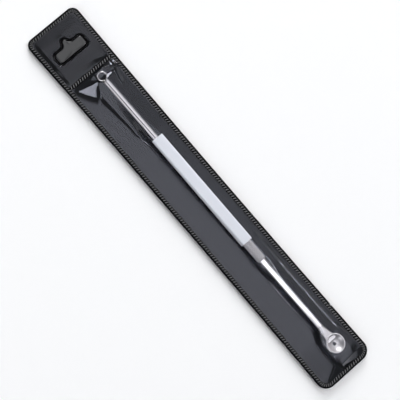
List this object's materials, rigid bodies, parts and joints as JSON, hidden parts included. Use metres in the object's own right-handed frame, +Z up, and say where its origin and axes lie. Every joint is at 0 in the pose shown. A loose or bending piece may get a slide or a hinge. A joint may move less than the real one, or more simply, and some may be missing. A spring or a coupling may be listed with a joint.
{
  "type": "blackhead extractor",
  "caption": "Double-ended steel blackhead extractor with a wire loop, a knurled grip and a drilled spoon, lying in a flat welded pouch with a clear front and a hang slot.",
  "frame": {"origin": "middle of the pouch's outline, on the surface that its back lies on", "axes": "+X along the pouch from its header to its foot, +Y across it towards the side that the tool lies on, +Z up out of the clear front"},
  "size_m": [0.1744, 0.0242, 0.0049],
  "materials": {
    "black_vinyl": "black soft vinyl sheet with a fine grain",
    "clear_vinyl": "clear glossy soft vinyl film",
    "slug_vinyl": "clear film welded over black vinyl",
    "white_strip": "flat white, bare",
    "knurled_steel": "diamond knurl on bright stainless steel",
    "polished_steel": "polished stainless steel",
    "wire_steel": "drawn stainless wire, polished"
  },
  "bodies": {
    "pouch": {"back_sheet": "black_vinyl", "front_film": "clear_vinyl", "hang_slot_slug": "slug_vinyl", "label_strip": "white_strip"},
    "tool": {"knurled_handle": "knurled_steel", "loop_shank": "polished_steel", "wire_loop": "wire_steel", "spoon_shank": "polished_steel"}
  },
  "joints": [
    {"name": "tool_slide", "type": "slide", "parent": "pouch", "child": "tool", "axis": [1, 0.0052, 0], "range_m": [-0.0003, 0.003]}
  ]
}
